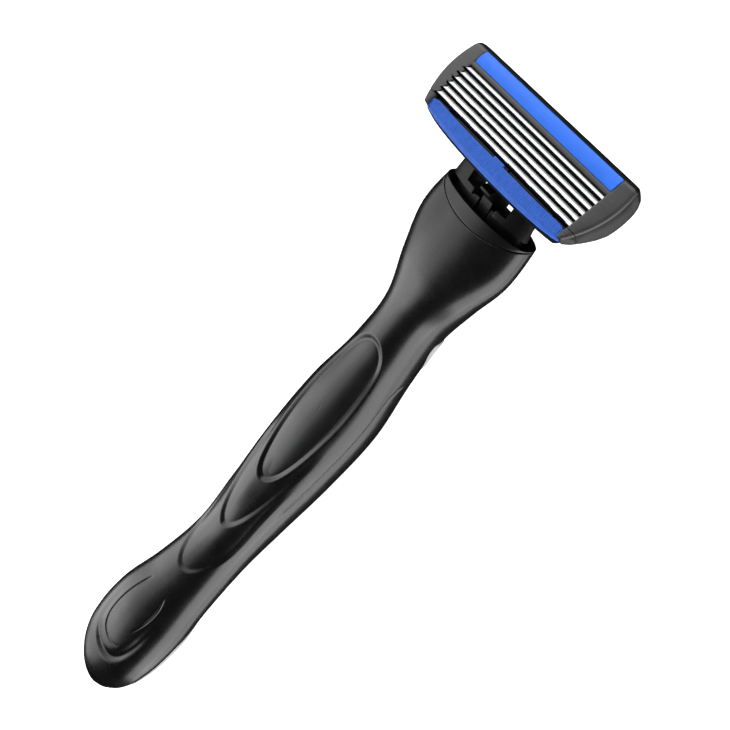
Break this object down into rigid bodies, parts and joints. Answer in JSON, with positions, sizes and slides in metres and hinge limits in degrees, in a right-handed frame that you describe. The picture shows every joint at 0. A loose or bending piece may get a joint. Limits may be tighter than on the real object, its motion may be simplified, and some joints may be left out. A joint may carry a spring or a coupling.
{
  "type": "cartridge razor",
  "caption": "Hand razor with a waisted black handle, sprung pivoting multi-blade head, blue guard and lubricating strip.",
  "frame": {"origin": "under the middle of the razor, on the surface it lies on", "axes": "+X along the blades, +Y from tail to head, +Z out of the blade side"},
  "size_m": [0.0408, 0.1464, 0.0239],
  "materials": {
    "handle_black": "satin soft-touch",
    "pad_black": "satin elastomer",
    "rear_black": "satin",
    "inlay_grey": "satin elastomer",
    "collar_black": "satin",
    "mechanism_black": "moulded",
    "button_grey": "satin",
    "frame_grey": "satin",
    "frame_dark": "satin",
    "guard_blue": "satin elastomer",
    "strip_blue": "smooth waxy",
    "blade_steel": "honed",
    "support_steel": "stamped",
    "spring_steel": "drawn wire"
  },
  "bodies": {
    "handle": {"handle_front_shell": "handle_black", "handle_rear_shell": "rear_black", "rear_grip_inlay": "inlay_grey", "thumb_pad": "pad_black", "head_collar": "collar_black", "mechanism_chassis": "mechanism_black", "plunger_spring": "spring_steel", "button_spring": "spring_steel"},
    "plunger": {"plunger": "mechanism_black"},
    "release_slide": {"release_button": "button_grey", "ejector_fork": "mechanism_black"},
    "connector": {"connector_yoke": "mechanism_black"},
    "cartridge": {"cap_frame": "frame_grey", "guard_frame": "frame_dark", "guard_strip": "guard_blue", "lubricating_strip": "strip_blue", "blade_1": "blade_steel", "blade_2": "blade_steel", "blade_3": "blade_steel", "blade_4": "blade_steel", "blade_5": "blade_steel", "blade_6": "blade_steel", "blade_support_1": "support_steel", "blade_support_2": "support_steel", "blade_support_3": "support_steel", "blade_support_4": "support_steel", "blade_support_5": "support_steel", "blade_support_6": "support_steel"}
  },
  "joints": [
    {"name": "cartridge_release", "type": "slide", "parent": "handle", "child": "connector", "axis": [0, 0.9781, 0.2079], "range_m": [0, 0.012]},
    {"name": "cartridge_pivot", "type": "hinge", "parent": "connector", "child": "cartridge", "pos_m": [0, 0.0611, 0.01817], "axis": [-1, 0, 0], "range_deg": [0, 40], "stiffness_Nm_per_rad": 0.008, "springref_deg": -20.05},
    {"name": "plunger_slide", "type": "slide", "parent": "handle", "child": "plunger", "axis": [0, -0.9781, -0.2079], "range_m": [0, 0.0024], "deforming": ["plunger_spring"]},
    {"name": "release_button_slide", "type": "slide", "parent": "handle", "child": "release_slide", "axis": [0, 0.9781, 0.2079], "range_m": [0, 0.003], "stiffness_N_per_m": 400, "springref_m": -0.002, "deforming": ["button_spring"]}
  ],
  "couplings": [
    {"joint": "plunger_slide", "follows": "cartridge_pivot", "m_per_rad": 0.003189}
  ]
}
